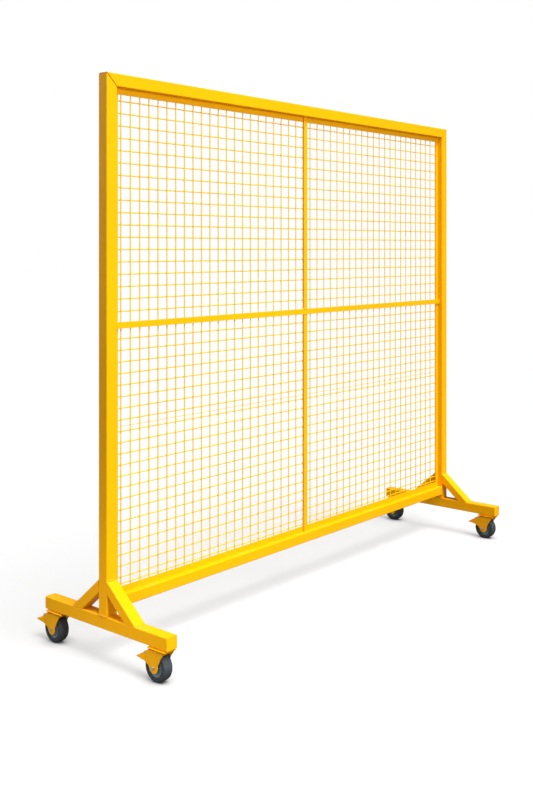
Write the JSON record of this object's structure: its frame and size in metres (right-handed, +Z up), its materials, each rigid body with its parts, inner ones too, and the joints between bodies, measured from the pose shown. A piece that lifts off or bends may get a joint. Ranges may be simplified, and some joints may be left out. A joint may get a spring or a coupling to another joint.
{
  "type": "mobile wire-mesh welding screen",
  "caption": "Free-standing mobile screen: a square-tube steel frame filled with welded wire mesh, with crossing flat bars, on braced feet with braked swivel casters.",
  "frame": {"origin": "on the floor under the middle of the whole object", "axes": "+X along the width of the screen, +Y to the rear, away from the side with the crossing bars, +Z up"},
  "size_m": [2.415, 0.769, 2.25],
  "materials": {
    "frame_paint": "yellow gloss enamel over welded steel tube",
    "mesh_paint": "yellow enamel on steel wire",
    "caster_paint": "yellow enamel on pressed steel",
    "zinc": "zinc plated",
    "hub_plastic": "matt blue-grey plastic",
    "tyre_rubber": "matt dark grey rubber"
  },
  "bodies": {
    "screen": {"left_post": "frame_paint", "right_post": "frame_paint", "top_rail": "frame_paint", "bottom_rail": "frame_paint", "left_foot": "frame_paint", "right_foot": "frame_paint", "foot_end_caps": "frame_paint", "top_edge_bar": "frame_paint", "bottom_edge_bar": "frame_paint", "left_edge_bar": "frame_paint", "right_edge_bar": "frame_paint", "horizontal_cross_bar": "frame_paint", "upper_cross_bar": "frame_paint", "lower_cross_bar": "frame_paint", "upper_mesh_sheet": "mesh_paint", "middle_mesh_sheet": "mesh_paint", "lower_mesh_sheet": "mesh_paint", "mounting_pads": "frame_paint", "swivel_balls": "zinc", "left_front_brace": "frame_paint", "left_rear_brace": "frame_paint", "right_front_brace": "frame_paint", "right_rear_brace": "frame_paint", "left_front_top_plate": "caster_paint", "left_front_kingpin": "zinc", "left_rear_top_plate": "caster_paint", "left_rear_kingpin": "zinc", "right_front_top_plate": "caster_paint", "right_front_kingpin": "zinc", "right_rear_top_plate": "caster_paint", "right_rear_kingpin": "zinc"},
    "left_front_swivel": {"left_front_fork": "caster_paint", "left_front_axle_bolt": "zinc", "left_front_axle_sleeve": "zinc", "left_front_brake_pin": "zinc"},
    "left_front_wheel": {"left_front_wheel_hub": "hub_plastic", "left_front_tyre": "tyre_rubber"},
    "left_front_pedal": {"left_front_brake_pedal": "caster_paint"},
    "left_rear_swivel": {"left_rear_fork": "caster_paint", "left_rear_axle_bolt": "zinc", "left_rear_axle_sleeve": "zinc", "left_rear_brake_pin": "zinc"},
    "left_rear_wheel": {"left_rear_wheel_hub": "hub_plastic", "left_rear_tyre": "tyre_rubber"},
    "left_rear_pedal": {"left_rear_brake_pedal": "caster_paint"},
    "right_front_swivel": {"right_front_fork": "caster_paint", "right_front_axle_bolt": "zinc", "right_front_axle_sleeve": "zinc", "right_front_brake_pin": "zinc"},
    "right_front_wheel": {"right_front_wheel_hub": "hub_plastic", "right_front_tyre": "tyre_rubber"},
    "right_front_pedal": {"right_front_brake_pedal": "caster_paint"},
    "right_rear_swivel": {"right_rear_fork": "caster_paint", "right_rear_axle_bolt": "zinc", "right_rear_axle_sleeve": "zinc", "right_rear_brake_pin": "zinc"},
    "right_rear_wheel": {"right_rear_wheel_hub": "hub_plastic", "right_rear_tyre": "tyre_rubber"},
    "right_rear_pedal": {"right_rear_brake_pedal": "caster_paint"}
  },
  "joints": [
    {"name": "left_front_swivel_turn", "type": "hinge", "parent": "screen", "child": "left_front_swivel", "pos_m": [-1.175, -0.3285, 0.1149], "axis": [0, 0, 1], "continuous": true},
    {"name": "left_front_wheel_roll", "type": "hinge", "parent": "left_front_swivel", "child": "left_front_wheel", "pos_m": [-1.175, -0.3145, 0.055], "axis": [1, 0, 0], "continuous": true},
    {"name": "left_front_brake_press", "type": "hinge", "parent": "left_front_swivel", "child": "left_front_pedal", "pos_m": [-1.175, -0.2715, 0.102], "axis": [1, 0, 0], "range_deg": [-14, 0]},
    {"name": "left_rear_swivel_turn", "type": "hinge", "parent": "screen", "child": "left_rear_swivel", "pos_m": [-1.175, 0.2795, 0.1149], "axis": [0, 0, 1], "continuous": true},
    {"name": "left_rear_wheel_roll", "type": "hinge", "parent": "left_rear_swivel", "child": "left_rear_wheel", "pos_m": [-1.175, 0.2935, 0.055], "axis": [1, 0, 0], "continuous": true},
    {"name": "left_rear_brake_press", "type": "hinge", "parent": "left_rear_swivel", "child": "left_rear_pedal", "pos_m": [-1.175, 0.3365, 0.102], "axis": [1, 0, 0], "range_deg": [-14, 0]},
    {"name": "right_front_swivel_turn", "type": "hinge", "parent": "screen", "child": "right_front_swivel", "pos_m": [1.175, -0.3285, 0.1149], "axis": [0, 0, 1], "continuous": true},
    {"name": "right_front_wheel_roll", "type": "hinge", "parent": "right_front_swivel", "child": "right_front_wheel", "pos_m": [1.175, -0.3145, 0.055], "axis": [1, 0, 0], "continuous": true},
    {"name": "right_front_brake_press", "type": "hinge", "parent": "right_front_swivel", "child": "right_front_pedal", "pos_m": [1.175, -0.2715, 0.102], "axis": [1, 0, 0], "range_deg": [-14, 0]},
    {"name": "right_rear_swivel_turn", "type": "hinge", "parent": "screen", "child": "right_rear_swivel", "pos_m": [1.175, 0.2795, 0.1149], "axis": [0, 0, 1], "continuous": true},
    {"name": "right_rear_wheel_roll", "type": "hinge", "parent": "right_rear_swivel", "child": "right_rear_wheel", "pos_m": [1.175, 0.2935, 0.055], "axis": [1, 0, 0], "continuous": true},
    {"name": "right_rear_brake_press", "type": "hinge", "parent": "right_rear_swivel", "child": "right_rear_pedal", "pos_m": [1.175, 0.3365, 0.102], "axis": [1, 0, 0], "range_deg": [-14, 0]}
  ]
}
